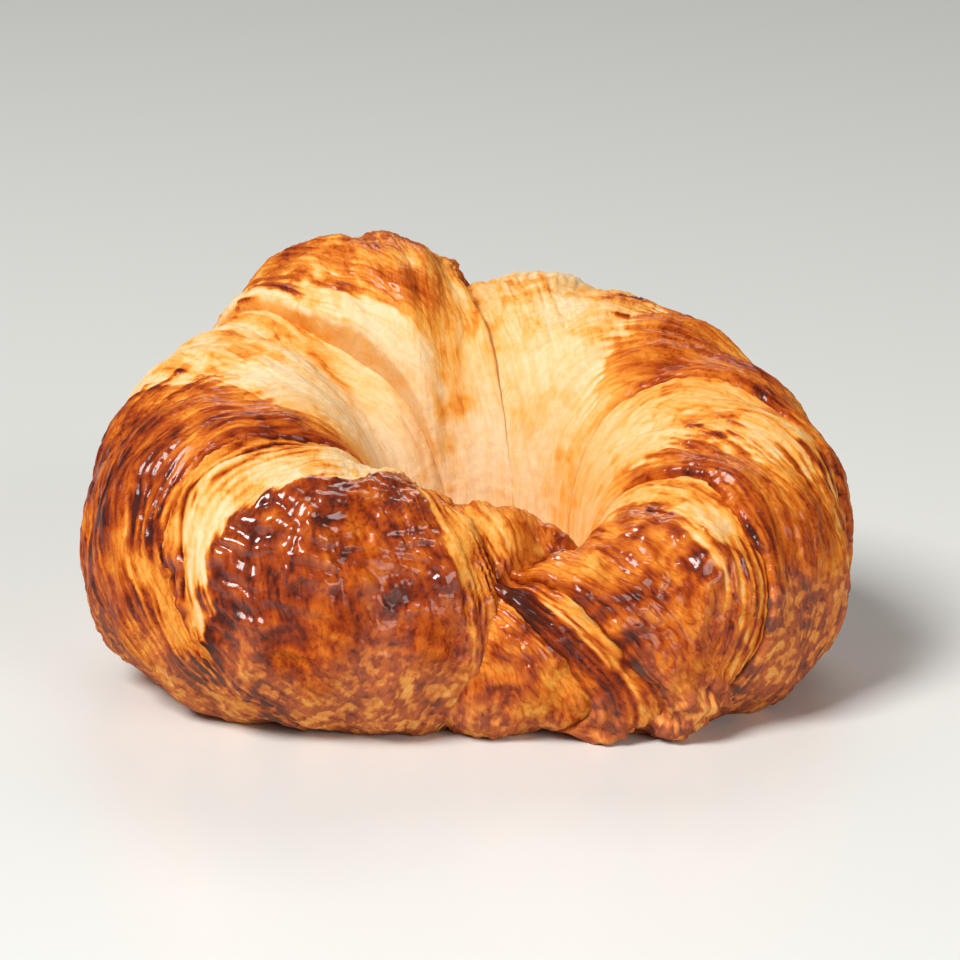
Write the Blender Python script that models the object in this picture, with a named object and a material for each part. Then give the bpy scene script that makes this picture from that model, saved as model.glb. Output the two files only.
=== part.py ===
"""A butter croissant, baked bent into a ring, with its two horns meeting at the front.

The dough is a long triangle rolled up, so what shows is a row of wraps. Each one reaches out from under
the wrap nearer the middle and ends in a lip that faces the horn's tip. Here every wrap is a closed barrel
lofted along the bent roll, and a Boolean union fuses the barrels, which leaves a step and a crease at each
lip.

A place on the roll is given by s, the millimetres along it from the left tip, and by the angle round its
section: 0 degrees is the outer side of the ring, 90 the crest, 180 the side of the hollow, 270 the foot.
Lengths are written in millimetres, and become metres where a mesh is made.
"""

import math

import bmesh
import bpy
import numpy as np

MM = 0.001

# The roll's outline. Each station gives the outermost point in plan, the innermost one, and the height.
# The stations run from the left horn's tip, round the back, to the right horn's tip.
STATIONS = np.array(
    [
        (24, -24, 18, -15, 24),
        (13.5, -29.5, 7, -14, 31),
        (-1, -39.5, -5, -13, 36),
        (-28, -43, -11, -10, 41),
        (-54, -26, -12.5, -5.5, 46),
        (-61, 4, -12, -1, 50.5),
        (-43, 37, -9, 2, 57.5),
        (-14, 52.5, -3, 3.5, 59),
        (19, 51, 5, 3, 57.8),
        (43.5, 34, 11.5, 0, 55),
        (60, 9, 15.5, -4, 48),
        (59.5, -15, 17.5, -9, 42.5),
        (44, -35.5, 17, -15, 35.5),
        (21, -42, 15, -20.5, 29),
        (3, -40, 5, -24, 25.5),
        (-7, -37.5, -4, -27, 23),
    ],
    float,
)
SQUARENESS = 2.2  # 2 makes an elliptical section
WAIST = 0.43  # the section is widest at this share of its height
FOOT_DEPTH = 1.1  # the section reaches below the table by a tenth of its waist, and is cut flat there

# Where each lip lies: s at six angles, 0, 60, 120, 180, 240 and 300 degrees, round the section.
FLAP_LEFT_LIP = (90, 92.5, 92.5, 116, 118, 100)
FLAP_RIGHT_LIP = (134, 125, 128, 143, 142, 138)
BAND_LIP = (50.5, 54.5, 49.5, 44, 42, 42)
BLISTER_LIP = (19.3, 22, 25.5, 28.5, 27.5, 24)
LEFT_END = (0, 0, 0, 0, 0, 0)
SHOULDER_LIP = (184, 180, 172, 173, 178, 183)
FLANK_LIP = (202.6, 200, 197.6, 198, 202, 206)
COLLAR_LIP = (214.3, 223.5, 232, 232, 222, 212)
CURL_LIP = (221, 231, 238, 238, 230, 219)
RIGHT_END = (241, 241, 241, 241, 241, 241)

# The swellings that give the croissant its own shape: s, angle, reach along, reach round, and height.
FLAP_CROWN = (107, 88, 13, 60, 7.0)
BLISTER_DOME = (36, 20, 12, 45, 1.5)
CURL_CORNER = (217, 315, 5, 22, 2.0)
COLLAR_CORNER = (210, 318, 6, 20, 2.5)
# The hollow under the flap's left lip, where the layers have parted.
POCKET = (89, 130, 9, 28, -3.2)

RECESS = 1.9  # how far a wrap lies below the lip that it comes out from under
FLAP_RECESS = 4.0  # the same beside the thick flap over the back
FLANK_RECESS = 1.5  # the same where the right side's layers have nearly fused
BAND_RECESS = (1.6, 0.8, 2.4, 2.6, 1.6, 1.6)  # the same under the flap's left lip, at the six angles
RISE = 11.0  # the stretch over which it swells back to full size
LIP_ROLL = 0.9  # how much the lip rounds over at its very edge
LIP_REACH = 2.0  # the stretch in which it does so
HOLLOW_STEP = 0.45  # the steps are only this high on the hollow's side, where the lips crowd together
NOSE = 7.0  # the stretch in which a horn's tip rounds off
NOSE_TIP = 0.25  # the share of the section that is left at its very end
# Rings that close a wrap: how far beyond its edge or back from its lip, and the share of the section there.
TUCKED_RINGS = ((9.0, 0.5), (5.4, 0.8))
TURNED_IN_RINGS = ((0.6, 0.93), (6.0, 0.5))

SIDES = 44  # facets round the roll
ROW_EVERY = 4.6  # facets along it
# The crust's uneven swell: the height of each wave, its waves along a millimetre and round, and its start.
LUMP_WAVES = ((0.45, 0.31, 2, 0.0), (0.45, 0.53, -3, 1.7), (0.27, 0.9, 5, 0.4))
HOLLOW_CALM = 0.85  # the share of the swell that is missing on the hollow's side
HOLLOW_FROM, HOLLOW_OVER = 0.1, 0.8  # where round the section the hollow's side starts, and how fast

# The dough that closes the hollow at the bottom: its middle in plan, its reach, and its two levels.
FLOOR_MIDDLE = (2.0, -8.0)
FLOOR_REACH = 21.0
FLOOR_TOP = 15.0
FLOOR_DISH = 2.0
FLOOR_UNDER = 3.0

CRUST_COLOUR = (0.55, 0.22, 0.05, 1.0)
CRUST_ROUGHNESS = 0.4


def smooth(t):
    """Rises from 0 to 1 as t does, level at both ends."""
    t = np.clip(t, 0, 1)
    return t * t * (3 - 2 * t)


def curve_through(knots, values, at):
    """A smooth curve through the values at the knots, read at the places in at."""
    slopes = np.gradient(values, knots, axis=0)
    i = np.clip(np.searchsorted(knots, at) - 1, 0, len(knots) - 2)
    gap = (knots[i + 1] - knots[i])[..., None]
    t = (at - knots[i])[..., None] / gap
    rise = t * t * (3 - 2 * t)
    return (
        (1 - rise) * values[i]
        + rise * values[i + 1]
        + gap * t * (1 - t) * ((1 - t) * slopes[i] - t * slopes[i + 1])
    )


def closed_curve(values, angle):
    """A smooth closed curve through values set evenly round the section, read at an angle."""
    waves = np.fft.rfft(values) / len(values)
    total = np.full(np.shape(angle), waves[0].real)
    for k in range(1, len(waves)):
        share = 1 if 2 * k == len(values) else 2
        total = total + share * (waves[k] * np.exp(1j * k * angle)).real
    return total


MIDDLE = (STATIONS[:, 0:2] + STATIONS[:, 2:4]) / 2
REACHED = np.concatenate(
    [[0], np.cumsum(np.linalg.norm(np.diff(MIDDLE, axis=0), axis=1))]
)
LENGTH = REACHED[-1]


def roll_point(s, angle, swell, shrink):
    """Points on the roll, swollen outwards, and shrunk towards the section's middle by a factor."""
    station = curve_through(REACHED, STATIONS, np.clip(s, 0, LENGTH))
    outer, inner, height = station[..., 0:2], station[..., 2:4], station[..., 4]
    half = (outer - inner) / 2
    width = np.linalg.norm(half, axis=-1)
    power = 2 / SQUARENESS
    across = np.sign(np.cos(angle)) * np.abs(np.cos(angle)) ** power
    up = np.sign(np.sin(angle)) * np.abs(np.sin(angle)) ** power
    waist = WAIST * height
    tall = np.where(up > 0, height - waist, FOOT_DEPTH * waist)
    plan = (outer + inner) / 2 + half * (across * shrink * (1 + swell / width))[..., None]
    level = waist + (tall + swell) * up * shrink
    return np.concatenate([plan, level[..., None]], axis=-1)


def mound(s, angle, place):
    """A rounded swelling or dent at one place on the roll."""
    at, turn, along, round_, height = place
    turned = (np.degrees(angle) - turn + 180) % 360 - 180
    return height * np.exp(-(((s - at) / along) ** 2) - (turned / round_) ** 2)


def towards_hollow(angle):
    """Rises from 0 at the crest and the foot to 1 on the side of the hollow."""
    return smooth((-np.cos(angle) - HOLLOW_FROM) / HOLLOW_OVER)


def lumps(s, angle):
    """The crust's uneven swell, from a few waves that don't repeat together."""
    swell = 0
    for height, along, round_, start in LUMP_WAVES:
        swell = swell + height * np.sin(along * s + round_ * angle + start)
    return swell * (1 - HOLLOW_CALM * towards_hollow(angle))


def wrap_surface(s, angle, edge, lip, recess, marks):
    """How far a wrap's surface stands off the roll's outline."""
    side = 1 - (1 - HOLLOW_STEP) * towards_hollow(angle)
    step = closed_curve(recess, angle) if np.ndim(recess) else recess
    swell = -step * side * (1 - smooth(np.abs(s - edge) / RISE))
    swell = swell - LIP_ROLL * side * (1 - smooth(np.abs(lip - s) / LIP_REACH))
    for place in marks:
        swell = swell + mound(s, angle, place)
    return swell + lumps(s, angle)


def wrap(name, edge_values, lip_values, recess=RECESS, marks=(), tip=False):
    """One barrel: it starts tucked under its neighbour, comes out at the edge and ends at its own lip."""
    angle = np.linspace(0, 2 * math.pi, SIDES, endpoint=False)
    edge = closed_curve(edge_values, angle)
    lip = closed_curve(lip_values, angle)
    way = np.sign(np.mean(lip) - np.mean(edge))
    rows = max(5, round(np.max(np.abs(lip - edge)) / ROW_EVERY))
    rings = []
    for beyond, share in TUCKED_RINGS:
        rings.append(roll_point(edge - way * beyond, angle, -np.max(recess), share))
    for t in np.linspace(0, 1, rows + 1):
        s = edge + (lip - edge) * t
        swell = wrap_surface(s, angle, edge, lip, recess, marks)
        shrink = 1.0
        if tip:
            left = np.clip(np.abs(lip - s) / NOSE, 0, 1)
            shrink = NOSE_TIP + (1 - NOSE_TIP) * np.sqrt(1 - (1 - left) ** 2)
            swell = swell * shrink
        rings.append(roll_point(s, angle, swell, shrink))
    if not tip:
        behind = wrap_surface(lip, angle, edge, lip, recess, marks)
        for back, share in TURNED_IN_RINGS:
            rings.append(roll_point(lip - way * back, angle, behind, share))
    return barrel(name, rings)


def barrel(name, rings):
    """A closed mesh through rings of equally many points, with both ends filled."""
    bm = bmesh.new()
    loops = [[bm.verts.new(point * MM) for point in ring] for ring in rings]
    count = len(loops[0])
    for low, high in zip(loops, loops[1:]):
        for j in range(count):
            k = (j + 1) % count
            bm.faces.new((low[j], low[k], high[k], high[j]))
    for loop in (loops[0], loops[-1]):
        middle = bm.verts.new(sum((v.co for v in loop), loop[0].co * 0) / count)
        for j in range(count):
            bm.faces.new((loop[j], loop[(j + 1) % count], middle))
    bmesh.ops.recalc_face_normals(bm, faces=bm.faces)
    bmesh.ops.triangulate(bm, faces=bm.faces)
    mesh = bpy.data.meshes.new(name)
    bm.to_mesh(mesh)
    bm.free()
    return bpy.data.objects.new(name, mesh)


def wraps():
    """All the wraps, the flap over the back first."""
    halfway = tuple((np.array(FLAP_LEFT_LIP) + np.array(FLAP_RIGHT_LIP)) / 2)
    return [
        wrap("flap_left", halfway, FLAP_LEFT_LIP, 0, (FLAP_CROWN,)),
        wrap("flap_right", halfway, FLAP_RIGHT_LIP, 0, (FLAP_CROWN,)),
        wrap("band", FLAP_LEFT_LIP, BAND_LIP, BAND_RECESS, (POCKET,)),
        wrap("blister", BAND_LIP, BLISTER_LIP, RECESS, (BLISTER_DOME,)),
        wrap("left_horn", BLISTER_LIP, LEFT_END, tip=True),
        wrap("shoulder", FLAP_RIGHT_LIP, SHOULDER_LIP, FLAP_RECESS),
        wrap("flank", SHOULDER_LIP, FLANK_LIP, FLANK_RECESS),
        wrap("collar", FLANK_LIP, COLLAR_LIP, RECESS, (COLLAR_CORNER,)),
        wrap("curl", COLLAR_LIP, CURL_LIP, RECESS, (CURL_CORNER,)),
        wrap("right_horn", CURL_LIP, RIGHT_END, tip=True),
        hollow_floor(),
    ]


def hollow_floor():
    """A low round plug of dough, dished on top, that closes the hollow near the table."""
    angle = np.linspace(0, 2 * math.pi, SIDES, endpoint=False)
    middle = np.array(FLOOR_MIDDLE)
    ways = np.stack([np.cos(angle), np.sin(angle)], axis=-1)
    rings = []
    for reach, level in (
        (0.3, FLOOR_UNDER),
        (1.0, FLOOR_UNDER),
        (1.0, FLOOR_TOP + FLOOR_DISH),
        (0.5, FLOOR_TOP),
    ):
        plan = middle + ways * FLOOR_REACH * reach
        rings.append(np.column_stack([plan, np.full(SIDES, level)]))
    return barrel("hollow_floor", rings)


def crust_material():
    material = bpy.data.materials.new("baked_crust")
    material.use_nodes = True
    shader = material.node_tree.nodes["Principled BSDF"]
    shader.inputs["Base Color"].default_value = CRUST_COLOUR
    shader.inputs["Roughness"].default_value = CRUST_ROUGHNESS
    shader.inputs["Metallic"].default_value = 0.0
    return material


def fused(pieces):
    """The first piece, with the others joined to it by one Boolean union."""
    body = pieces[0]
    bpy.context.scene.collection.objects.link(body)
    others = bpy.data.collections.new("wraps_to_join")
    bpy.context.scene.collection.children.link(others)
    for piece in pieces[1:]:
        others.objects.link(piece)
    union = body.modifiers.new("join", "BOOLEAN")
    union.operation = "UNION"
    union.solver = "MANIFOLD"
    union.operand_type = "COLLECTION"
    union.collection = others
    bpy.context.view_layer.objects.active = body
    bpy.ops.object.modifier_apply(modifier=union.name)
    for piece in pieces[1:]:
        bpy.data.objects.remove(piece)
    bpy.data.collections.remove(others)
    return body


def shells(bm):
    """The mesh's separate closed surfaces, each as a set of vertices, the largest first."""
    waiting = set(bm.verts)
    found = []
    while waiting:
        front = [waiting.pop()]
        shell = set(front)
        while front:
            vert = front.pop()
            for edge in vert.link_edges:
                other = edge.other_vert(vert)
                if other not in shell:
                    shell.add(other)
                    front.append(other)
        waiting -= shell
        found.append(shell)
    return sorted(found, key=len, reverse=True)


def fill_gaps_inside(body):
    """Fills the small closed gaps left between the wraps, so that the dough is solid."""
    bm = bmesh.new()
    bm.from_mesh(body.data)
    for shell in shells(bm)[1:]:
        bmesh.ops.delete(bm, geom=list(shell), context="VERTS")
    bm.to_mesh(body.data)
    bm.free()


def stand_flat(body):
    """Cuts the foot off level, closes the cut, and puts the origin in the middle of the footprint."""
    bm = bmesh.new()
    bm.from_mesh(body.data)
    cut = bmesh.ops.bisect_plane(
        bm,
        geom=bm.verts[:] + bm.edges[:] + bm.faces[:],
        plane_co=(0, 0, 0),
        plane_no=(0, 0, 1),
        clear_inner=True,
    )
    rim = [g for g in cut["geom_cut"] if isinstance(g, bmesh.types.BMEdge)]
    bmesh.ops.holes_fill(bm, edges=rim, sides=0)
    bmesh.ops.triangulate(bm, faces=bm.faces)
    places = np.array([v.co[:] for v in bm.verts])
    middle = (places.min(axis=0) + places.max(axis=0)) / 2
    bmesh.ops.translate(bm, verts=bm.verts, vec=(-middle[0], -middle[1], 0))
    bm.to_mesh(body.data)
    bm.free()


def main():
    for thing in list(bpy.data.objects):
        bpy.data.objects.remove(thing)
    body = fused(wraps())
    fill_gaps_inside(body)
    stand_flat(body)
    body.name = "croissant"
    body.data.name = "croissant"
    body.data.materials.clear()
    body.data.materials.append(crust_material())
    body.data.shade_smooth()
    body.data.set_sharp_from_angle(angle=math.radians(40))


main()
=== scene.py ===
"""The look of a butter croissant that was baked bent into a ring, with its horns meeting at the front.

The dough is a long triangle rolled up, so the crust is a row of wraps, each reaching out from under the one
nearer the middle and ending in a lip that faces the horn's tip. A place on the roll is given by s, the
millimetres along it from the left tip, and by the angle round its section: 0 is the outer side of the ring,
90 the crest, 180 the side of the hollow, 270 the foot. Lengths on the dough are in millimetres.
"""

import math

import bpy
import numpy as np
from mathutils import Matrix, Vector


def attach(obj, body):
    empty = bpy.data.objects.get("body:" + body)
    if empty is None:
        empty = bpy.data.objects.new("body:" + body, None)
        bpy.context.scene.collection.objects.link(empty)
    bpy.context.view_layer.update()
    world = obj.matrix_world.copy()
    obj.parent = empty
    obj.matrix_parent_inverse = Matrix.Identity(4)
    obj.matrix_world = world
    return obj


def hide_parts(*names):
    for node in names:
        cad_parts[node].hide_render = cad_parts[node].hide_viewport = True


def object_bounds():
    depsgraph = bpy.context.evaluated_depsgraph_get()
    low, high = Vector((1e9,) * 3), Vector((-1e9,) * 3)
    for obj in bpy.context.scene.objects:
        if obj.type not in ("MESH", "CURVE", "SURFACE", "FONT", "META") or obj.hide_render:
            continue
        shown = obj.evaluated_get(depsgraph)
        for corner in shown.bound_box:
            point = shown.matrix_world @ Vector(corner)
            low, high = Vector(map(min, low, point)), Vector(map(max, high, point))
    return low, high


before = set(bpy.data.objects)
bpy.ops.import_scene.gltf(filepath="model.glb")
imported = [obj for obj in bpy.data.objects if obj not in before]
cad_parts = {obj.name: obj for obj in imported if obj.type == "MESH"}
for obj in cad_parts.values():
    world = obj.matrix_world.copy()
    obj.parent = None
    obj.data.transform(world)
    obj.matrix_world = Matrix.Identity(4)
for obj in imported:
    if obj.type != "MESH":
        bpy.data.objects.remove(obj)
cad_low, cad_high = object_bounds()

# The flap: the wide end of the dough triangle, which lies over the back of the ring like a strap.
# It is a barrel of dough with a lip at each edge. The left lip has lifted off the wrap below in the oven,
# its crown is egg-washed brown, and its sides hang pale and stringy into the hollow.
MM = 0.001
FOOTPRINT_MIDDLE = np.array([-0.265, 4.696, 0.0])  # of the stations' plan, set over the frame's origin
# Each station along the roll: its outer side and its inner side seen from above (x, y), and its height.
STATIONS = np.array(
    [
        (24, -24, 18, -15, 24),
        (13.5, -29.5, 7, -14, 31),
        (-1, -39.5, -5, -13, 36),
        (-28, -43, -11, -10, 41),
        (-54, -26, -12.5, -5.5, 46),
        (-61, 4, -12, -1, 50.5),
        (-43, 37, -9, 2, 57.5),
        (-14, 52.5, -3, 3.5, 59),
        (19, 51, 5, 3, 57.8),
        (43.5, 34, 11.5, 0, 55),
        (60, 9, 15.5, -4, 48),
        (59.5, -15, 17.5, -9, 42.5),
        (44, -35.5, 17, -15, 35.5),
        (21, -42, 15, -20.5, 29),
        (3, -40, 5, -24, 25.5),
        (-7, -37.5, -4, -27, 23),
    ],
    float,
)
SQUARENESS = 2.2  # of the section, where 2 is an ellipse
WAIST = 0.43  # the section is widest at this share of its height
FOOT_DEPTH = 1.1  # the foot bulges this much further down, and is then flattened on the table
LUMP_WAVES = ((0.45, 0.31, 2, 0.0), (0.45, 0.53, -3, 1.7), (0.27, 0.9, 5, 0.4))  # height, rates, start
HOLLOW_CALM = 0.85  # the share of the lumps that the side of the hollow does without
HOLLOW_STEP = 0.45  # the share of a lip's step that is left on the side of the hollow
RISE = 9.0  # a wrap comes up from under its neighbour's lip over this length
LIP_ROLL = 0.7  # a lip is rounded off by this depth, along LIP_REACH
LIP_REACH = 1.5
LIP_RINGS = 18  # the rings of mesh that turn in under a lip
TURN_IN = 6.0  # how far a lip turns in
EVEN_SPAN = 20  # under a lip the raggedness is evened out over this many columns to each side
RAGGED = ((7.0, 0.7, 0), (2.8, 0.4, 2), (1.1, 0.22, 4))  # width and depth of a lip's bays, and their draw
RAGGED_BACK = 0.3  # a lip stays this far back from its smooth line on the whole
HOLLOW_RAGGED = 0.4  # the share of the raggedness that is left on the side of the hollow
TUCK = 3.0  # how far a wrap reaches in under its neighbour's lip
TUCK_RINGS = (3, 8)  # and how far beyond that its closing rings of mesh lie
TIP_RINGS = (0.7, 0.4, 0.15)  # the rings that close a tip, as shares of its girth
SINK = 0.5  # the crust is laid this far under the solid's outline, so that its blisters stay inside it
GRAIN = 0.3  # the mesh's spacing
LEAST_ROWS = 24
UNDERSIDE = 42  # degrees to each side of the foot where the mesh is wider, because the table hides it
UNDERSIDE_SAVING = 0.65
REACH = np.array(cad_high[0:2]) / MM - 0.05
PRESSED = 0.8  # over this last part of the solid's reach, a blister is pressed back
WELD = 1e-7

FLAP_LEFT_LIP = (90, 92.5, 92.5, 116, 118, 100)
FLAP_RIGHT_LIP = (134, 125, 128, 143, 142, 138)
FLAP_CROWN = (107, 88, 13, 60, 7.0)


def smooth(t):
    """An even rise from 0 to 1, as t goes from 0 to 1."""
    t = np.clip(t, 0, 1)
    return t * t * (3 - 2 * t)


def curve_through(knots, values, at):
    """A smooth curve through the values at the knots, read at the places in at."""
    slopes = np.gradient(values, knots, axis=0)
    i = np.clip(np.searchsorted(knots, at) - 1, 0, len(knots) - 2)
    gap = (knots[i + 1] - knots[i])[..., None]
    t = (at - knots[i])[..., None] / gap
    rise = t * t * (3 - 2 * t)
    return (
        (1 - rise) * values[i]
        + rise * values[i + 1]
        + gap * t * (1 - t) * ((1 - t) * slopes[i] - t * slopes[i + 1])
    )


def closed_curve(values, angle):
    """A smooth closed curve through values set evenly round the section, read at an angle."""
    if np.isscalar(values):
        return np.full(np.shape(angle), float(values))
    waves = np.fft.rfft(values) / len(values)
    total = np.full(np.shape(angle), waves[0].real)
    for k in range(1, len(waves)):
        share = 1 if 2 * k == len(values) else 2
        total = total + share * (waves[k] * np.exp(1j * k * angle)).real
    return total


MIDDLE = (STATIONS[:, 0:2] + STATIONS[:, 2:4]) / 2
REACHED = np.concatenate([[0], np.cumsum(np.linalg.norm(np.diff(MIDDLE, axis=0), axis=1))])


def roll_point(s, angle, swell, shrink=1.0):
    """Points on the roll, swollen outwards by swell and shrunk towards the section's middle."""
    station = curve_through(REACHED, STATIONS, np.clip(s, 0, REACHED[-1]))
    outer, inner, height = station[..., 0:2], station[..., 2:4], station[..., 4]
    half = (outer - inner) / 2
    width = np.linalg.norm(half, axis=-1)
    power = 2 / SQUARENESS
    across = np.sign(np.cos(angle)) * np.abs(np.cos(angle)) ** power
    up = np.sign(np.sin(angle)) * np.abs(np.sin(angle)) ** power
    waist = WAIST * height
    tall = np.where(up > 0, height - waist, FOOT_DEPTH * waist)
    plan = (outer + inner) / 2 + half * (across * shrink * (1 + swell / width))[..., None]
    level = waist + (tall + swell) * up * shrink
    return np.concatenate([plan, level[..., None]], axis=-1) - FOOTPRINT_MIDDLE


def turned_from(angle, turn):
    """How many degrees round the section an angle is from a turn, between -180 and 180."""
    return (np.degrees(angle) - turn + 180) % 360 - 180


def mound(s, angle, place):
    """A rounded patch at one place on the roll: s, angle, reach along, reach round, and strength."""
    at, turn, along, round_, height = place
    return height * np.exp(-(((s - at) / along) ** 2) - (turned_from(angle, turn) / round_) ** 2)


def towards_hollow(angle):
    """Rises from 0 at the crest and the foot to 1 on the side of the hollow."""
    return smooth((-np.cos(angle) - 0.1) / 0.8)


def lumps(s, angle):
    """The slow, uneven swell of the dough along the roll and round it."""
    swell = 0
    for height, along, round_, start in LUMP_WAVES:
        swell = swell + height * np.sin(along * s + round_ * angle + start)
    return swell * (1 - HOLLOW_CALM * towards_hollow(angle))


LEANINGS = np.random.default_rng(7).normal(size=(256, 3))
LEANINGS /= np.linalg.norm(LEANINGS, axis=1)[:, None]


def crumple(points, across, seed):
    """Smooth random swell from about -1 to 1, in lumps that are across millimetres wide."""
    place = points / across + 500.0
    cell = np.floor(place).astype(np.int64)
    part = place - cell
    ease = part * part * part * (part * (part * 6 - 15) + 10)
    total = np.zeros(points.shape[:-1])
    for corner in range(8):
        step = np.array([corner & 1, corner >> 1 & 1, corner >> 2 & 1])
        spot = cell + step
        pick = spot[..., 0] * 73856093 ^ spot[..., 1] * 19349663 ^ spot[..., 2] * 83492791
        pick = (pick ^ seed * 374761393) & 0x7FFFFFFF
        pick = ((pick ^ pick >> 13) * 60493) & 0x7FFFFFFF
        lean = LEANINGS[(pick ^ pick >> 15) & 255]
        weight = np.prod(np.where(step, ease, 1 - ease), axis=-1)
        total += weight * ((part - step) * lean).sum(-1)
    return total * 1.7


def shingles(distance, spacing, crisp=0.15):
    """Sheets of dough that overlap like shingles: 0 to 1 high, steep where each one ends."""
    place = distance / spacing
    part = place - np.floor(place)
    return smooth(part / crisp) - part


def sheet_line(distance, spacing, wide):
    """1 along the edge of each sheet, and 0 away from it."""
    part = distance / spacing
    part = np.abs(part - np.round(part)) * spacing
    return np.exp(-((part / wide) ** 2))


def section_angles(s, spacing):
    """Angles round the section that space the mesh evenly over what shows, from the foot to the foot."""
    fine = np.linspace(-math.pi / 2, 3 * math.pi / 2, 721)
    ring = roll_point(np.full(fine.shape, s), fine, np.zeros(fine.shape))
    gaps = np.linalg.norm(np.diff(ring, axis=0), axis=1)
    under = smooth((UNDERSIDE - np.abs(turned_from(fine[1:], 270))) / 10)
    run = np.concatenate([[0], np.cumsum(gaps * (1 - UNDERSIDE_SAVING * under))])
    count = int(run[-1] / spacing)
    return np.interp(np.linspace(0, run[-1], count), run, fine)


def outward(points):
    """The outward direction at each place of a rolled grid of points."""
    along = np.gradient(points, axis=0)
    round_ = np.gradient(points, axis=1)
    round_[:, 0] = round_[:, -1] = points[:, 1] - points[:, -2]
    facing = np.cross(round_, along)
    facing /= np.linalg.norm(facing, axis=-1, keepdims=True) + 1e-9
    middle = points.mean(axis=1, keepdims=True)
    if ((points - middle) * facing).sum() < 0:
        facing = -facing
    return facing


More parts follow.
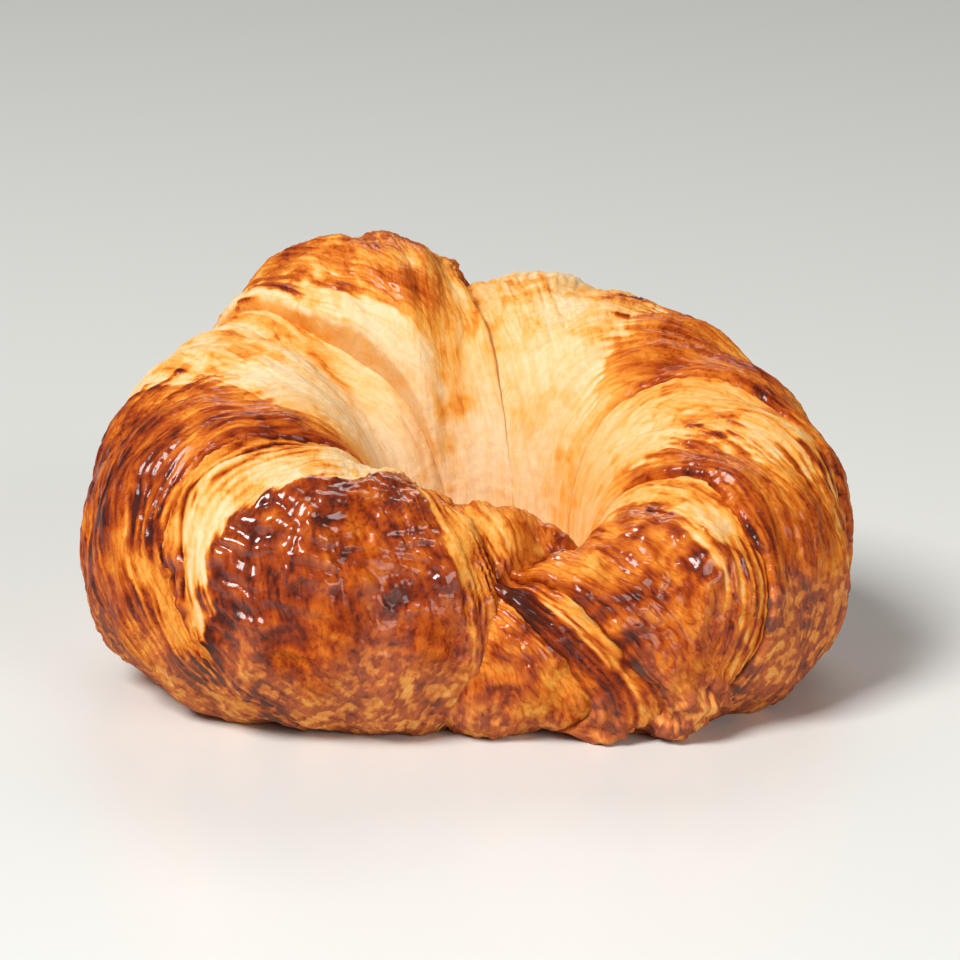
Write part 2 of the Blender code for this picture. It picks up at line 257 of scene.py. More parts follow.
def rolled_wrap(
    name,
    edge_values,
    lip_values,
    seed,
    recess=1.0,
    marks=(),
    ends=("tucked", "lip"),
    torn=1.0,
    spacing=GRAIN,
):
    """The bare form of a wrap as a grid of places, and where each place is on the dough.

    The wrap comes out from under its neighbour at edge_values and ends at lip_values, which are places along
    the roll, set evenly round the section from the outer side. recess is how far it lies under the
    neighbour's lip, torn how ragged its own lips are, and marks are mounds and dents on it.
    """
    seam = np.linspace(0, 1, 60) * 2 * math.pi
    edge_mean = float(np.mean(closed_curve(edge_values, seam)))
    lip_mean = float(np.mean(closed_curve(lip_values, seam)))
    way = math.copysign(1, lip_mean - edge_mean)
    angle = section_angles((edge_mean + lip_mean) / 2, spacing)
    columns = len(angle)
    edge = closed_curve(edge_values, angle)
    lip = closed_curve(lip_values, angle)
    even_edge, even_lip = edge, lip
    calm = torn * (1 - (1 - HOLLOW_RAGGED) * towards_hollow(angle))
    bounds = [edge, lip]
    for end, sign in ((0, 1), (1, -1)):
        if ends[end] == "lip":
            rim = roll_point(bounds[end], angle, np.zeros(columns))
            ragged = 0
            for across, depth, draw in RAGGED:
                ragged = ragged + depth * crumple(rim, across, seed + draw + end)
            bounds[end] = bounds[end] + sign * way * calm * (ragged + RAGGED_BACK)
    edge, lip = bounds
    tuck = TUCK if ends[0] == "tucked" else 0.0
    reach = np.abs(lip - edge)
    rows = max(LEAST_ROWS, int(np.percentile(reach + tuck, 80) * 1.25 / spacing))
    past = -tuck + (reach + tuck) * np.linspace(0, 1, rows)[:, None]
    s = edge + way * past
    turn = np.broadcast_to(angle, s.shape)
    side = 1 - (1 - HOLLOW_STEP) * towards_hollow(turn)
    swell = lumps(s, turn) - SINK
    for place in marks:
        swell = swell + mound(s, turn, place)
    shrink = np.ones(s.shape)
    if ends[0] == "tucked":
        step = closed_curve(recess, turn)
        swell = swell - step * side * (1 - smooth(past / RISE)) - 0.3 * np.maximum(-past, 0)
    for end, left in ((0, past), (1, reach - past)):
        if ends[end] == "lip":
            near = np.clip(1 - left / LIP_REACH, 0, 1)
            swell = swell - LIP_ROLL * side**2 * (1 - np.sqrt(1 - near**2))
        if ends[end] == "tip":
            left = np.clip(left / NOSE, 0, 1)
            shrink = NOSE_TIP + (1 - NOSE_TIP) * np.sqrt(1 - (1 - left) ** 2)
            swell = swell * shrink
    points = roll_point(s, turn, swell, shrink)
    # Each end turns in under its neighbour and closes on one middle point.
    closings = []
    for end, row, sign in ((0, 0, -way), (1, -1, way)):
        middle = points[row].mean(axis=0)
        if ends[end] == "tip":
            closing = [middle + (points[row] - middle) * share for share in TIP_RINGS]
        elif ends[end] == "tucked":
            closing = []
            for beyond in TUCK_RINGS:
                closing.append(roll_point(s[row] + sign * beyond, angle, swell[row], 1 - 0.05 * beyond))
        else:
            span = 2 * EVEN_SPAN + 1
            wrapped = np.pad(s[row], EVEN_SPAN, mode="wrap")
            even = np.convolve(wrapped, np.full(span, 1 / span), mode="valid")
            closing = []
            for turn_in in np.linspace(0, 1, LIP_RINGS + 1)[1:]:
                place = s[row] + (even - s[row]) * smooth(turn_in * 5) - sign * TURN_IN * turn_in**1.7
                closing.append(roll_point(place, angle, swell[row], 1 - 0.5 * turn_in))
        closing.append(np.broadcast_to(closing[-1].mean(axis=0), points[row].shape))
        closings.append(closing)
    before, after = len(closings[0]), len(closings[1])
    form = np.concatenate([closings[0][::-1], points, closings[1]])
    run = np.cumsum(np.linalg.norm(np.diff(form, axis=0), axis=-1), axis=0)
    run = np.concatenate([np.zeros((1, columns)), run])
    scale = (run[before + rows - 1] - run[before]) / (reach + tuck)
    from_edge = run - run[before] - tuck * scale
    to_lip = reach * scale - from_edge
    gaps = np.linalg.norm(np.diff(points, axis=1), axis=-1)
    girthwise = np.concatenate([np.zeros((rows, 1)), np.cumsum(gaps, axis=1)], axis=1)
    girthwise = girthwise - girthwise[:, columns // 2 : columns // 2 + 1]
    pad = ((before, after), (0, 0))
    shown = np.zeros(form.shape[:2])
    shown[before : before + rows] = 1
    inside = np.zeros(form.shape[:2])
    last_row = before + rows
    for end, first, last in ((0, before - LIP_RINGS, before), (1, last_row, last_row + LIP_RINGS)):
        if ends[end] == "lip":
            shown[first:last] = 0.6
            inside[first:last] = 1
    return {
        "name": name,
        "form": form,
        "s": np.pad(s, pad, mode="edge"),
        "angle": np.broadcast_to(angle, form.shape[:2]),
        "from_edge": from_edge,
        "to_lip": to_lip,
        "from_even_edge": from_edge + way * (edge - even_edge) * scale,
        "to_even_lip": to_lip - way * (lip - even_lip) * scale,
        "girthwise": np.pad(girthwise, pad, mode="edge"),
        "shown": shown,
        "inside": inside,
        "way": way,
        "seed": seed,
        "ends": ends,
    }


def baked_piece(wrap, bake, gloss, dust, relief):
    """The mesh of a wrap: a grid primitive rolled up over the form, raised by the relief."""
    form = wrap["form"] + outward(wrap["form"]) * (relief * wrap["shown"])[..., None]
    # Where a blister would reach past the solid's own reach, it is pressed back a little.
    over = np.abs(form[..., 0:2]) - REACH + PRESSED
    back = np.where(over > 0, over - PRESSED * np.tanh(over / PRESSED), 0)
    form[..., 0:2] -= np.sign(form[..., 0:2]) * back
    form[..., 2] = np.maximum(form[..., 2], 0.0)
    form[:, -1] = form[:, 0]
    rows, columns = form.shape[:2]
    for thing in bpy.context.selected_objects:
        thing.select_set(False)
    bpy.ops.mesh.primitive_grid_add(x_subdivisions=columns - 1, y_subdivisions=rows - 1, size=1)
    piece = bpy.context.object
    piece.name = wrap["name"]
    mesh = piece.data
    mesh.name = wrap["name"]
    mesh.vertices.foreach_set("co", (form * MM).reshape(-1))
    corner = np.empty(len(mesh.loops), np.int32)
    mesh.loops.foreach_get("vertex_index", corner)
    flat = np.stack([wrap["girthwise"], wrap["to_lip"]], axis=-1).reshape(-1, 2)
    mesh.uv_layers.active.data.foreach_set("uv", (flat[corner] * MM).reshape(-1))
    for label, values in (("bake", bake), ("gloss", gloss), ("dust", dust)):
        layer = mesh.attributes.new(label, "FLOAT", "POINT")
        layer.data.foreach_set("value", np.clip(values, 0, 1.5).reshape(-1).astype(np.float32))
    bpy.ops.object.mode_set(mode="EDIT")
    bpy.ops.mesh.select_all(action="SELECT")
    bpy.ops.mesh.remove_doubles(threshold=WELD)
    bpy.ops.mesh.normals_make_consistent(inside=False)
    bpy.ops.object.mode_set(mode="OBJECT")
    bpy.ops.object.shade_smooth()
    piece.data.materials.append(crust)
    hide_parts("croissant")
    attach(piece, "root")


class Signal:
    """A socket that carries a value. Arithmetic on it adds the Math nodes."""

    def __init__(self, recipe, socket):
        self.recipe = recipe
        self.socket = socket

    def math(self, operation, first, second):
        return self.recipe.node("ShaderNodeMath", {"operation": operation}, {0: first, 1: second})

    def __add__(self, other):
        return self.math("ADD", self, other)

    def __radd__(self, other):
        return self.math("ADD", other, self)

    def __sub__(self, other):
        return self.math("SUBTRACT", self, other)

    def __rsub__(self, other):
        return self.math("SUBTRACT", other, self)

    def __mul__(self, other):
        return self.math("MULTIPLY", self, other)

    def __rmul__(self, other):
        return self.math("MULTIPLY", other, self)


class Recipe:
    """A material, and the one way in which its nodes are added."""

    def __init__(self, name):
        self.material = bpy.data.materials.new(name)
        self.material.use_nodes = True
        self.tree = self.material.node_tree
        self.tree.nodes.clear()

    def node(self, kind, settings, sockets, out=0):
        made = self.tree.nodes.new(kind)
        for key, value in settings.items():
            if key == "stops":
                ramp = made.color_ramp
                while len(ramp.elements) < len(value):
                    ramp.elements.new(0.5)
                for element, (place, colour) in zip(ramp.elements, value):
                    element.position = place
                    element.color = (*colour, 1)
            else:
                setattr(made, key, value)
        for key, value in sockets.items():
            if isinstance(value, Signal):
                self.tree.links.new(value.socket, made.inputs[key])
            else:
                made.inputs[key].default_value = value
        return None if out is None else Signal(self, made.outputs[out])


def crust_recipe():
    """Baked dough: pale where it was covered while it rose, and browned and egg-glazed where it wasn't."""
    recipe = Recipe("baked_crust")
    bake = recipe.node("ShaderNodeAttribute", {"attribute_name": "bake"}, {}, "Fac")
    gloss = recipe.node("ShaderNodeAttribute", {"attribute_name": "gloss"}, {}, "Fac")
    dust = recipe.node("ShaderNodeAttribute", {"attribute_name": "dust"}, {}, "Fac")
    place = recipe.node("ShaderNodeTexCoord", {}, {}, "Object")
    on_dough = recipe.node("ShaderNodeTexCoord", {}, {}, "UV")
    fibres_at = recipe.node("ShaderNodeMapping", {}, {0: on_dough, "Scale": (190, 2000, 1)})
    fibres = recipe.node(
        "ShaderNodeTexNoise", {}, {"Vector": fibres_at, "Scale": 1.0, "Detail": 4.0, "Roughness": 0.65}
    )
    hairs_at = recipe.node("ShaderNodeMapping", {}, {0: on_dough, "Scale": (330, 4600, 1)})
    hairs = recipe.node(
        "ShaderNodeTexNoise", {}, {"Vector": hairs_at, "Scale": 1.0, "Detail": 2.0, "Roughness": 0.6}
    )
    specks = recipe.node(
        "ShaderNodeTexNoise", {}, {"Vector": place, "Scale": 1100.0, "Detail": 3.0, "Roughness": 0.7}
    )
    freckles = recipe.node(
        "ShaderNodeTexNoise", {}, {"Vector": place, "Scale": 420.0, "Detail": 3.0, "Roughness": 0.6}
    )
    shade = bake + (fibres - 0.5) * 0.22 + (hairs - 0.5) * 0.12
    shade = shade + (specks - 0.5) * 0.18 + (freckles - 0.5) * 0.14
    colour = recipe.node(
        "ShaderNodeValToRGB",
        {
            "stops": [
                (0.00, (0.83, 0.63, 0.38)),
                (0.12, (0.83, 0.54, 0.25)),
                (0.26, (0.83, 0.43, 0.120)),
                (0.38, (0.80, 0.32, 0.045)),
                (0.50, (0.66, 0.19, 0.020)),
                (0.62, (0.52, 0.105, 0.006)),
                (0.75, (0.33, 0.043, 0.003)),
                (0.88, (0.165, 0.018, 0.003)),
                (1.00, (0.06, 0.010, 0.005)),
            ]
        },
        {"Fac": shade},
    )
    # The crust low down is mixed a little towards a pale tone: partly the dry, dull crust's own colour, and
    # partly a painted sheen.
    veiled_colour = recipe.node(
        "ShaderNodeMix",
        {"data_type": "RGBA"},
        {"Factor": dust * 0.08, "A": colour, "B": (0.80, 0.62, 0.45, 1)},
        "Result",
    )
    roughened = fibres * 0.6 + hairs * 0.3 + specks * 0.5 + freckles * 0.3
    bumped = recipe.node("ShaderNodeBump", {}, {"Height": roughened, "Strength": 0.7, "Distance": 0.00028})
    surface = recipe.node(
        "ShaderNodeBsdfPrincipled",
        {},
        {
            "Base Color": veiled_colour,
            "Roughness": 0.66 - gloss * 0.34,
            "Specular IOR Level": 0.08,
            "Coat Weight": gloss * 0.95,
            "Coat Roughness": 0.14,
            "Coat IOR": 1.65,
            "Subsurface Weight": 0.12,
            "Subsurface Radius": (1.0, 0.42, 0.16),
            "Subsurface Scale": 0.0015,
            "Normal": bumped,
        },
    )
    recipe.node("ShaderNodeOutputMaterial", {}, {"Surface": surface}, None)
    return recipe.material


crust = crust_recipe()


def streaks(wrap, across, along, seed):
    """Random streaks that run round the roll, alongside the nearer of the two lips."""
    total = 0
    for k, distance, share in (
        (0, wrap["from_even_edge"], 1 - wrap["part"]),
        (1, wrap["to_even_lip"], wrap["part"]),
    ):
        place = [(distance + wrap["drift"]) / across, wrap["girthwise"] / along, distance * 0 + 40 * k]
        total = total + share * crumple(np.stack(place, axis=-1), 1.0, seed)
    return total / np.sqrt(wrap["part"] ** 2 + (1 - wrap["part"]) ** 2)


def line_at(field, wide):
    """1 along the lines where the field changes sign, and 0 away from them."""
    return np.exp(-((field / wide) ** 2))


# The sizes of the crust's lumps, streaks, flakes, crags and blisters. A streak has a width and a length.
COARSE, MEDIUM, FINE, TINY = 9.0, 3.6, 1.5, 0.8
LONG_STREAK, SHORT_STREAK, HAIR = (1.7, 18.0), (0.8, 7.0), (0.5, 5.0)
FLAKE = 1.9
CRAG, PIT = 4.5, 2.0
BUBBLE_LONG, BUBBLE_WIDE, PIMPLE = 6.5, 3.8, 2.1
SKIN_FROM, SKIN_BORDER = 0.40, 0.16  # dough baked browner than this has a skin of glaze
DULL_BORDER = 10


def dress(
    wrap,
    dark_from,
    deep,
    dark_to=None,
    pale=0.12,
    last=0.0,
    patches=(),
    fray=3.0,
    wide=3.0,
    mottle=1.0,
    grain=1.0,
    blisters=0.6,
    ridges=0.08,
    sheets=(1.0, 1.0),
    plies=(6.0, 3.5),
    gaps=(1.5, 1.2),
    golden=0.16,
    shine=0.36,
    dull=15.0,
    dull_tone=0.36,
    rim=0.1,
    crags=0.0,
):
    """Bakes a wrap: works out how brown, glossy and high each place of it is, and makes the piece.

    The crust is brown from dark_from to dark_to, which are places along the roll, and pale elsewhere. deep
    and pale say how brown the two are, last what the pale dough gains towards the lip, and fray and wide
    how ragged and how soft the border is. mottle, grain, blisters, ridges and crags are strengths. sheets,
    plies and gaps are the strength, reach and spacing of the laminated sheets at the edge and at the lip,
    and golden warms the dough at the edge. Up to the height dull the crust is dull, of the tone dull_tone.
    rim darkens the lip.
    """
    form, s, angle, seed, way = wrap["form"], wrap["s"], wrap["angle"], wrap["seed"], wrap["way"]
    to_lip, from_edge = wrap["to_lip"], wrap["from_edge"]
    wrap["drift"] = 1.1 * crumple(form, COARSE, seed + 8) + 0.1 * crumple(form, 2.6, seed + 9)
    wrap["part"] = smooth(from_edge / (from_edge + np.maximum(to_lip, 0) + 0.01))
    hollow = towards_hollow(angle)
    coarse = crumple(form, COARSE, seed + 10)
    medium = crumple(form, MEDIUM, seed + 11)
    fine = crumple(form, FINE, seed + 12)
    tiny = crumple(form, TINY, seed + 13)
    long_streaks = streaks(wrap, *LONG_STREAK, seed + 14)
    short_streaks = streaks(wrap, *SHORT_STREAK, seed + 15)
    hairs = streaks(wrap, *HAIR, seed + 16)
    wander = 0.8 * long_streaks + 0.6 * short_streaks + 0.5 * coarse + 0.4 * medium + 0.2 * fine
    browned = smooth((way * (s - closed_curve(dark_from, angle)) + fray * wander) / wide + 0.5)
    if dark_to is not None:
        browned = browned * smooth((way * (closed_curve(dark_to, angle) - s) + 2.0 * wander) / 1.6 + 0.5)
    browned = browned * (1 - 0.9 * smooth((-np.cos(angle) - 0.4 + 0.25 * wander) / 0.4))
    has_lip = wrap["ends"][1] == "lip"
    tucked = wrap["ends"][0] == "tucked"
    near_edge = np.exp(-((from_edge / plies[0]) ** 2)) * tucked
    near_lip = np.exp(-((np.maximum(to_lip, 0) / plies[1]) ** 2)) * has_lip
    open_side = 1 - 0.75 * hollow
    pale_bake = 0.14 * coarse + 0.14 * long_streaks + 0.1 * short_streaks + 0.07 * hairs
    pale_bake = pale_bake + 0.16 * smooth((medium + 0.5 * coarse - 0.15) / 0.3)
    pale_bake = pale + pale_bake * (1 - 0.6 * hollow) - 0.03 * hollow
    pale_bake = pale_bake + golden * np.exp(-((from_edge / (0.5 * plies[0])) ** 2)) * tucked * open_side
    pale_bake = pale_bake + last * smooth(wrap["part"] * 2 - 1)
    grained = 0.18 * long_streaks + 0.12 * short_streaks + 0.1 * hairs
    uneven = 0.22 * coarse + 0.1 * medium + grain * grained
    uneven = uneven + (1 - grain) * (0.22 * medium + 0.14 * fine)
    brown_bake = deep + mottle * uneven
    bake = pale_bake + (brown_bake - pale_bake) * browned
    # The glaze is darkest along its border and on the lip.
    bake = bake + 0.12 * (4 * browned * (1 - browned)) ** 2 * deep
    bake = bake + rim * np.exp(-((to_lip / 1.7) ** 2)) * browned * has_lip
    for place in patches:
        bake = bake + mound(s, angle, place) * (1 + 0.7 * medium + 0.5 * fine + 0.5 * long_streaks)
    skin = smooth((bake - SKIN_FROM) / SKIN_BORDER)
    # Near the table the crust is dull, and its skin has split into small flakes over golden dough.
    low = smooth((dull - form[..., 2] + 8 * coarse + 3 * medium) / DULL_BORDER) * (1 - hollow)
    split = crumple(form, FLAKE, seed + 17) + 0.5 * fine + 0.4 * tiny + 0.5 * short_streaks
    flakes = smooth(split / 0.2 + 1.0)
    low_bake = dull_tone + 0.3 * flakes + 0.12 * medium + 0.1 * coarse + 0.05 * tiny
    bake = bake + low * 0.85 * (low_bake - bake)
    # Blisters under the glaze, drawn out across the wrap.
    along = from_edge / BUBBLE_LONG + 0.5 * medium
    across = wrap["girthwise"] / BUBBLE_WIDE + 0.6 * coarse
    bubbles = 1.4 * np.sqrt(crumple(np.stack([along, across, coarse], axis=-1), 1.0, seed + 20) ** 2 + 0.02)
    bubbles = bubbles + 0.14 * np.sqrt(crumple(form, PIMPLE, seed + 21) ** 2 + 0.01)
    lift = blisters * skin * (1 - 0.6 * low)
    bake = bake + lift * 0.12 * (0.34 - bubbles)
    relief = lift * (bubbles - 0.45)
    relief = relief + 0.14 * low * flakes + 0.1 * skin * (1 - low)
    crag = np.abs(crumple(form, CRAG, seed + 22)) + 0.6 * np.abs(crumple(form, PIT, seed + 23)) - 0.35
    relief = relief + crags * low * crag
    # The laminated sheets end side by side next to the lips, and here and there on the open crust.
    ply = 0.8 * long_streaks + 0.05 * fine + wrap["drift"]
    outer_side = 0.4 + 0.6 * smooth((np.cos(angle) + 0.1) / 0.6)
    for reach, place, spacing, height in (
        (near_edge * sheets[0], ply - wrap["from_even_edge"], gaps[0], 0.22),
        (near_lip * sheets[1], ply + wrap["to_even_lip"], gaps[1], 0.16),
    ):
        reach = reach * open_side * outer_side * smooth(0.7 + 1.5 * coarse)
        relief = relief + reach * height * shingles(place, spacing)
        # Just under each sheet's edge the dough is browned in a thin line: partly caramelised dough, and
        # partly painted shade at the foot of the step.
        clear = 0.75 + 0.25 * np.sin(2.4 * np.round(place / spacing) + seed)
        line = sheet_line(place + 0.15, spacing, 0.2 * spacing) * smooth(1.2 + 1.3 * long_streaks)
        bake = bake + np.minimum(reach * clear * line, 1) * (0.62 - 0.42 * skin)
    # Small tears and folds step the skin, and each shows as a thin line.
    for field, height, share in (
        (streaks(wrap, 2.4, 13.0, seed + 30) + 0.12 * fine, 0.13, 0.14),
        (streaks(wrap, 1.5, 8.0, seed + 31) + 0.15 * fine, 0.10, 0.1),
        (crumple(form, 4.0, seed + 32) + 0.3 * fine + 0.3 * short_streaks, 0.09, 0.08),
    ):
        relief = relief + height * open_side * (smooth(field / 0.15 + 0.5) - 0.5)
        bake = bake + share * open_side * line_at(field + 0.05, 0.06)
    relief = relief + (1 - skin) * (0.05 * fine + 0.03 * tiny)
    relief = relief + ridges * (1 - 0.6 * hollow) * (long_streaks + 0.8 * short_streaks)
    # The underside is evenly baked. What turns in under a lip is painted at least tan, as painted shade
    # under the lip, and on the side of the hollow it is painted lighter, so that the crease there is not so
    # dark.
    under = smooth((0.6 - form[..., 2]) / 0.5)
    bake = bake + under * (0.5 + 0.2 * medium - bake)
    bake = bake + wrap["inside"] * (np.maximum(bake, 0.36 - 0.22 * hollow + 0.12 * medium) - bake)
    upward = smooth((outward(form)[..., 2] + 0.25) / 0.9)
    gloss = shine * skin * (1 - 0.8 * low) * smooth(0.9 + 1.2 * coarse) * (0.25 + 0.75 * upward)
    # low also marks where the shader lays a pale veil over the crust, partly the dull crust's own tone and
    # partly a painted sheen.
    baked_piece(wrap, np.clip(bake, 0.0, 1.1), gloss, low, relief)


RECESS = 1.3
flap = rolled_wrap(
    "flap",
    FLAP_LEFT_LIP,
    FLAP_RIGHT_LIP,
    seed=100,
    marks=(FLAP_CROWN,),
    ends=("lip", "lip"),
    torn=1.3,
    spacing=1.07 * GRAIN,
)
dress(
    flap,
    dark_from=(95, 96, 101, 140, 140, 104),
    deep=0.48,
    pale=0.06,
    # The patches at 126 and 153 degrees brown the flap where it hangs into the funnel, as painted shade.
    patches=(
        (108, 92, 9, 16, 0.06),
        (113, 126, 7, 14, 0.16),
        (119, 153, 7, 16, 0.26),
        (125, 85, 8, 30, -0.22),
    ),
    fray=5.0,
    mottle=1.2,
    blisters=0.3,
    sheets=(1.0, 0.6),
)

# The band: the next wrap to the left. It is pale where the flap covered it while it rose, and then a broad
# stripe of dark glaze, drawn into fine ridges, down to its lip.
BAND_LIP = (50.5, 54.5, 49.5, 44, 42, 42)
BAND_RECESS = (1.0, 0.6, 2.2, 2.4, 1.2, 1.0)
POCKET = (89, 130, 9, 28, -3.2)
band = rolled_wrap(
    "band",
    FLAP_LEFT_LIP,
    BAND_LIP,
    seed=200,
    recess=BAND_RECESS,
    marks=(POCKET,),
    spacing=1.28 * GRAIN,
)
dress(
    band,
    dark_from=(82, 74, 61, 50, 60, 78),
    deep=0.59,
    dark_to=(57, 54, 49, 43, 42, 50),
    pale=0.07,
    last=0.34,
    # The first patch browns the band just under the flap's lip, as painted shade in the pocket there.
    patches=((88, 118, 4, 26, 0.15), (86, 85, 6, 20, 0.08), (66, 5, 9, 35, 0.16)),
    fray=2.5,
    blisters=0.2,
    ridges=0.13,
    sheets=(0.4, 2.6),
    plies=(6.0, 8.0),
    gaps=(1.5, 2.1),
    shine=0.45,
    dull=18,
    dull_tone=0.42,
    rim=0.16,
)

# The blister: the left shoulder of the front, where the glaze pooled and blew up into a dark, shiny,
# wrinkled dome. Its foot is dull and flaked.
BLISTER_LIP = (19.3, 22, 25.5, 28.5, 27.5, 24)
BLISTER_DOME = (36, 20, 12, 45, 1.5)
BLISTER_RECESS = (0.5, 0.7, 0.9, 0.8, 0.8, 0.6)
blister = rolled_wrap(
    "blister",
    BAND_LIP,
    BLISTER_LIP,
    seed=300,
    recess=BLISTER_RECESS,
    marks=(BLISTER_DOME,),
)
dress(
    blister,
    dark_from=(48.5, 44.5, 24, 20, 36, 49),
    deep=0.76,
    dark_to=(23.5, 27.5, 31, 31, 28, 26.5),
    pale=0.07,
    last=0.26,
    patches=((50, 335, 6, 32, 0.34),),
    fray=1.3,
    wide=1.6,
    mottle=0.7,
    grain=0.3,
    blisters=0.85,
    sheets=(2.4, 2.4),
    plies=(5.5, 5.0),
    gaps=(1.9, 1.3),
    golden=0.38,
    shine=1.0,
    dull=20,
)

# The left horn: the last turn of the dough, drawn in to a blunt tip and tucked behind the other horn. It is
# browned on top, and pale and layered where the dome's lip covered it.
LEFT_END = 0
NOSE = 7.0
NOSE_TIP = 0.25
left_horn = rolled_wrap(
    "left_horn",
    BLISTER_LIP,
    LEFT_END,
    seed=400,
    recess=RECESS,
    ends=("tucked", "tip"),
)
dress(
    left_horn,
    dark_from=(16, 18, 19, 20, 18, 16),
    deep=0.58,
    pale=0.26,
    fray=2.0,
    grain=0.4,
    shine=0.6,
)

# The shoulder: the wrap right of the flap, rolled from the same sheet. Its wall over the hollow stayed
# smooth and pale, and an orange-brown stripe runs over it next to its lip.
SHOULDER_LIP = (184, 180, 172, 173, 178, 183)
FLAP_RECESS = (3.8, 3.8, 2.4, 0.3, 2.8, 3.8)
shoulder = rolled_wrap(
    "shoulder",
    FLAP_RIGHT_LIP,
    SHOULDER_LIP,
    seed=500,
    recess=FLAP_RECESS,
    spacing=1.15 * GRAIN,
)
dress(
    shoulder,
    dark_from=(145, 151, 161, 165, 158, 148),
    deep=0.52,
    # The second patch browns the wall of the funnel, as painted shade.
    patches=((153, 88, 4, 9, 0.4), (166, 158, 8, 14, 0.2)),
    fray=5.0,
    blisters=0.3,
    ridges=0.12,
    sheets=(0.3, 1.0),
    shine=0.3,
)

# The flank: the wrap on the right side, streaked pale and brown where its sheets were drawn round the roll.
# Lower down it is dull and flaked.
FLANK_LIP = (202.6, 200, 197.6, 198, 202, 206)
FLANK_RECESS = 0.7
flank = rolled_wrap("flank", SHOULDER_LIP, FLANK_LIP, seed=600, recess=FLANK_RECESS)
dress(
    flank,
    dark_from=(186, 187, 191, 186, 184, 186),
    deep=0.60,
    pale=0.2,
    fray=5.0,
    blisters=0.35,
    ridges=0.13,
    sheets=(1.4, 1.4),
    plies=(7.0, 4.0),
    gaps=(2.2, 1.4),
    dull=28,
    dull_tone=0.43,
    crags=0.3,
)

# The collar: the wrap that the right horn's tip comes out of, glazed on top. Its foot has baked into a
# lumpy, craggy corner.
COLLAR_LIP = (214.3, 223.5, 232, 232, 222, 212)
COLLAR_CORNER = (210, 318, 6, 20, 2.5)
collar = rolled_wrap(
    "collar",
    FLANK_LIP,
    COLLAR_LIP,
    seed=700,
    recess=RECESS,
    marks=(COLLAR_CORNER,),
)
dress(
    collar,
    dark_from=(204.5, 206, 205, 206, 206, 208),
    deep=0.60,
    pale=0.18,
    patches=((223, 78, 5, 14, -0.2), (208, 45, 4, 18, 0.14)),
    grain=0.4,
    ridges=0.04,
    gaps=(1.8, 1.2),
    shine=0.7,
    rim=0.22,
    crags=2.0,
)

# The curl: a narrow wrap between the collar and the right horn. Its face is pale, its lip a dark arc, and
# its foot as lumpy as the collar's.
CURL_LIP = (221, 231, 238, 238, 230, 219)
CURL_CORNER = (217, 315, 5, 22, 2.0)
curl = rolled_wrap("curl", COLLAR_LIP, CURL_LIP, seed=800, recess=RECESS, marks=(CURL_CORNER,))
dress(
    curl,
    dark_from=(216.5, 226, 234, 234, 225, 214),
    deep=0.76,
    pale=0.24,
    fray=1.4,
    wide=1.6,
    blisters=0.4,
    rim=0.0,
    dull=11,
    dull_tone=0.4,
    crags=2.0,
)

# The right horn: the blunt end of the roll, laid in front of the other horn. It is orange-brown and
# blistered, with a pale rim where the roll ends.
RIGHT_END = 241
right_horn = rolled_wrap(
    "right_horn",
    CURL_LIP,
    RIGHT_END,
    seed=900,
    recess=RECESS,
    ends=("tucked", "tip"),
)
dress(
    right_horn,
    dark_from=(222, 232, 239, 239, 232, 220),
    deep=0.61,
    dark_to=237,
    pale=0.3,
    fray=1.6,
    mottle=1.1,
    grain=0.3,
    blisters=0.8,
    ridges=0.04,
    shine=0.8,
    dull=8,
    crags=1.2,
)

# The floor of the hollow: dough that the ring closed over while it rose. It is one dish on a turned
# profile, with soft, shallow folds, and it runs in under the wraps all round.
FLOOR_MIDDLE = (2.265, -12.696)
FLOOR_PROFILE = ((0, 15), (6, 15.1), (13, 15.6), (19, 16.8), (21, 16.6), (21, 4), (19, 3), (0, 3))
FLOOR_RINGS = 150
FLOOR_COLUMNS = 260
FLOOR_BAKE = 0.08
FOLD_BAKE = 0.22
FOLD_HEIGHT = 1.5
profile = np.array(FLOOR_PROFILE, float)
reached = np.concatenate([[0], np.cumsum(np.linalg.norm(np.diff(profile, axis=0), axis=1))])
down = np.linspace(0, reached[-1], FLOOR_RINGS)
ring_radius = np.interp(down, reached, profile[:, 0])[:, None]
ring_level = np.interp(down, reached, profile[:, 1])[:, None]
turn = np.linspace(0, 2 * math.pi, FLOOR_COLUMNS)[None, :]
dish = np.stack(
    [
        FLOOR_MIDDLE[0] + ring_radius * np.cos(turn),
        FLOOR_MIDDLE[1] + ring_radius * np.sin(turn),
        ring_level + 0 * turn,
    ],
    axis=-1,
)
folds = crumple(dish * (1, 2.2, 1), 8.0, 1001) + 0.4 * crumple(dish * (1, 1.6, 1), 3.0, 1002)
fade = smooth(ring_radius / 4) * smooth((FLOOR_RINGS - 1 - np.arange(FLOOR_RINGS)[:, None]) / 20)
hollow_floor = {
    "name": "hollow_floor",
    "form": dish,
    "girthwise": 12 * turn + 0 * ring_radius,
    "to_lip": down[:, None] + 0 * turn,
    "shown": fade + 0 * turn,
}
none = 0 * folds
baked_piece(hollow_floor, FLOOR_BAKE + FOLD_BAKE * folds, none, none, FOLD_HEIGHT * folds)

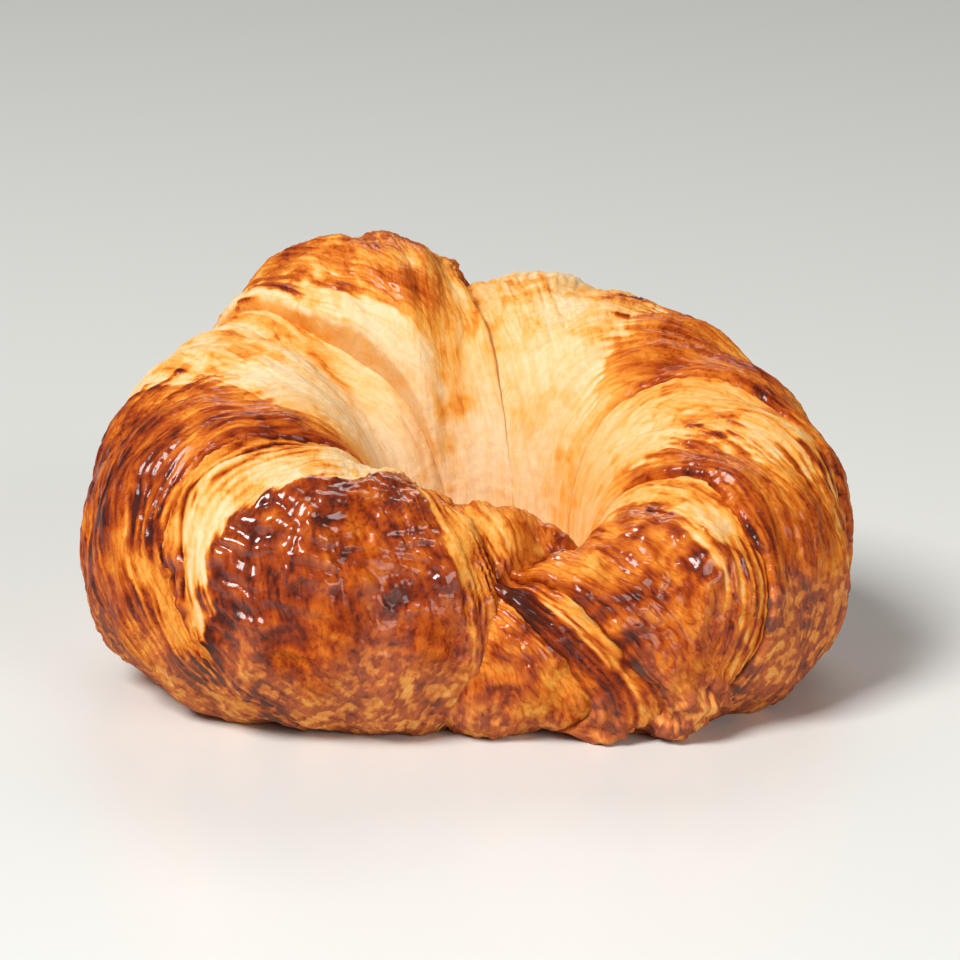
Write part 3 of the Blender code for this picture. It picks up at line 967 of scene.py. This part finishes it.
# The studio: a plain pale table, a large soft window light from the upper left, a fill from the right and
# one from the back. The camera looks down a little on the side where the horns meet.
TABLE_SIZE = 12
TABLE_GAP = 0.00005
bpy.ops.mesh.primitive_plane_add(size=TABLE_SIZE, location=(0, 0, -TABLE_GAP))
table = bpy.context.object
table.name = "table_top"
paint = Recipe("pale_table")
paint_surface = paint.node(
    "ShaderNodeBsdfPrincipled", {}, {"Base Color": (0.79, 0.805, 0.785, 1), "Roughness": 0.28}
)
paint.node("ShaderNodeOutputMaterial", {}, {"Surface": paint_surface}, None)
table.data.materials.append(paint.material)


def lamp(name, place, aim, size, power, colour):
    """A soft panel of light that looks at a point."""
    bpy.ops.object.light_add(type="AREA", location=place)
    made = bpy.context.object
    made.name = name
    made.data.shape = "RECTANGLE"
    made.data.size, made.data.size_y = size
    made.data.energy = power
    made.data.color = colour
    made.rotation_euler = (Vector(aim) - Vector(place)).to_track_quat("-Z", "Y").to_euler()


CROISSANT_MIDDLE = (0, 0, 0.03)
lamp("window", (-1.1, -0.95, 1.75), CROISSANT_MIDDLE, (0.9, 0.9), 60.0, (1.0, 0.985, 0.965))
lamp("fill", (1.4, -1.6, 0.8), CROISSANT_MIDDLE, (1.4, 1.0), 20.0, (1.0, 0.97, 0.94))
lamp("back", (0.2, 2.0, 1.7), (0, 0, 0.04), (1.6, 0.8), 13.0, (1.0, 0.96, 0.91))
world = bpy.data.worlds.new("studio")
world.use_nodes = True
world.node_tree.nodes["Background"].inputs["Color"].default_value = (1.0, 0.99, 0.97, 1)
world.node_tree.nodes["Background"].inputs["Strength"].default_value = 0.1
bpy.context.scene.world = world
bpy.context.scene.view_settings.view_transform = "Standard"

CAMERA_PLACE = np.array([1.93, -547.17, 182.35]) - FOOTPRINT_MIDDLE
CAMERA_DOWN = math.radians(15.5)
bpy.ops.object.camera_add(location=CAMERA_PLACE * MM, rotation=(math.pi / 2 - CAMERA_DOWN, 0, 0))
camera = bpy.context.object
camera.name = "camera"
camera.data.sensor_width = 36
camera.data.lens = 134.0
bpy.context.scene.camera = camera
